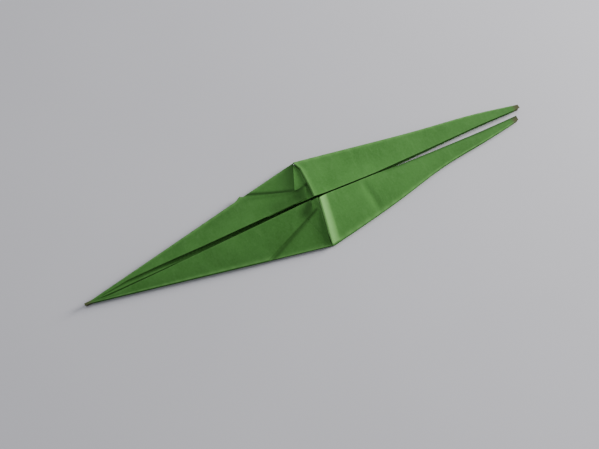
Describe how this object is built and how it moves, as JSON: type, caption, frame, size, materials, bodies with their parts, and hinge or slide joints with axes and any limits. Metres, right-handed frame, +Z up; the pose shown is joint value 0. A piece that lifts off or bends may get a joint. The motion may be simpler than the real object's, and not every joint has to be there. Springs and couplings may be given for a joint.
{
  "type": "folded paper airplane",
  "caption": "Slim green paper airplane folded from one square sheet: a pointed wing with folded flaps, a raised ridge and two narrow legs.",
  "frame": {"origin": "under the middle of the ridge, on the surface that the airplane lies on", "axes": "+X along the centre line from the wing's point to the two leg tips, +Y across the wing, +Z up"},
  "size_m": [0.15, 0.03, 0.0071],
  "materials": {
    "green_paper": "matte, smooth coloured copy paper",
    "paper_inner": "matte, the same sheet where it is hidden inside the folds"
  },
  "bodies": {
    "front_wing": {"front_wing": "green_paper", "front_peak": "paper_inner", "rear_peak": "paper_inner", "ridge_crease": "green_paper", "front_upper_pleat": "paper_inner", "front_lower_pleat": "paper_inner", "rear_upper_pleat": "paper_inner", "rear_lower_pleat": "paper_inner", "front_upper_collar": "green_paper", "front_lower_collar": "green_paper", "front_upper_ear": "green_paper", "front_lower_ear": "green_paper"},
    "rear_wing": {"rear_wing": "green_paper", "rear_upper_collar": "green_paper", "rear_lower_collar": "green_paper"},
    "upper_leg": {"upper_leg_front_base": "green_paper", "upper_leg_front_pleat": "paper_inner", "upper_leg_rear_base": "green_paper", "upper_leg_rear_pleat": "paper_inner"},
    "front_upper_wing_flap": {"front_upper_wing_flap": "green_paper", "front_upper_wing_lining": "paper_inner"},
    "upper_leg_front_flap": {"upper_leg_front_flap": "green_paper", "upper_leg_front_lining": "paper_inner"},
    "rear_upper_wing_flap": {"rear_upper_wing_flap": "green_paper", "rear_upper_wing_lining": "paper_inner"},
    "upper_leg_rear_flap": {"upper_leg_rear_flap": "green_paper", "upper_leg_rear_lining": "paper_inner"},
    "lower_leg": {"lower_leg_front_base": "green_paper", "lower_leg_front_pleat": "paper_inner", "lower_leg_rear_base": "green_paper", "lower_leg_rear_pleat": "paper_inner"},
    "front_lower_wing_flap": {"front_lower_wing_flap": "green_paper", "front_lower_wing_lining": "paper_inner"},
    "lower_leg_front_flap": {"lower_leg_front_flap": "green_paper", "lower_leg_front_lining": "paper_inner"},
    "rear_lower_wing_flap": {"rear_lower_wing_flap": "green_paper", "rear_lower_wing_lining": "paper_inner"},
    "lower_leg_rear_flap": {"lower_leg_rear_flap": "green_paper", "lower_leg_rear_lining": "paper_inner"}
  },
  "joints": [
    {"name": "rear_wing_bend", "type": "hinge", "parent": "front_wing", "child": "rear_wing", "pos_m": [0, 0, 0.00015], "axis": [0, 1, 0], "range_deg": [-60, 0]},
    {"name": "upper_leg_bend", "type": "hinge", "parent": "front_wing", "child": "upper_leg", "pos_m": [0, 0.00746, 0.00015], "axis": [0, -1, 0], "range_deg": [-60, 0]},
    {"name": "front_upper_wing_flap_fold", "type": "hinge", "parent": "front_wing", "child": "front_upper_wing_flap", "pos_m": [-0.03768, 0.00742, 0.00125], "axis": [-0.9808, -0.1951, 0], "range_deg": [0, 90]},
    {"name": "upper_leg_front_flap_fold", "type": "hinge", "parent": "upper_leg", "child": "upper_leg_front_flap", "pos_m": [0.03768, 0.00851, 0.00125], "axis": [-0.9856, 0.1692, 0], "range_deg": [0, 90]},
    {"name": "rear_upper_wing_flap_fold", "type": "hinge", "parent": "rear_wing", "child": "rear_upper_wing_flap", "pos_m": [-0.03768, 0.00742, 0.0005], "axis": [0.9808, 0.1951, 0], "range_deg": [0, 90]},
    {"name": "upper_leg_rear_flap_fold", "type": "hinge", "parent": "upper_leg", "child": "upper_leg_rear_flap", "pos_m": [0.03768, 0.00851, 0.0005], "axis": [0.9856, -0.1692, 0], "range_deg": [0, 90]},
    {"name": "lower_leg_bend", "type": "hinge", "parent": "front_wing", "child": "lower_leg", "pos_m": [0, -0.00746, 0.00015], "axis": [0, -1, 0], "range_deg": [-60, 0]},
    {"name": "front_lower_wing_flap_fold", "type": "hinge", "parent": "front_wing", "child": "front_lower_wing_flap", "pos_m": [-0.03768, -0.00742, 0.00125], "axis": [0.9808, -0.1951, 0], "range_deg": [0, 90]},
    {"name": "lower_leg_front_flap_fold", "type": "hinge", "parent": "lower_leg", "child": "lower_leg_front_flap", "pos_m": [0.03768, -0.00851, 0.00125], "axis": [0.9856, 0.1692, 0], "range_deg": [0, 90]},
    {"name": "rear_lower_wing_flap_fold", "type": "hinge", "parent": "rear_wing", "child": "rear_lower_wing_flap", "pos_m": [-0.03768, -0.00742, 0.0005], "axis": [-0.9808, 0.1951, 0], "range_deg": [0, 90]},
    {"name": "lower_leg_rear_flap_fold", "type": "hinge", "parent": "lower_leg", "child": "lower_leg_rear_flap", "pos_m": [0.03768, -0.00851, 0.0005], "axis": [-0.9856, -0.1692, 0], "range_deg": [0, 90]}
  ]
}
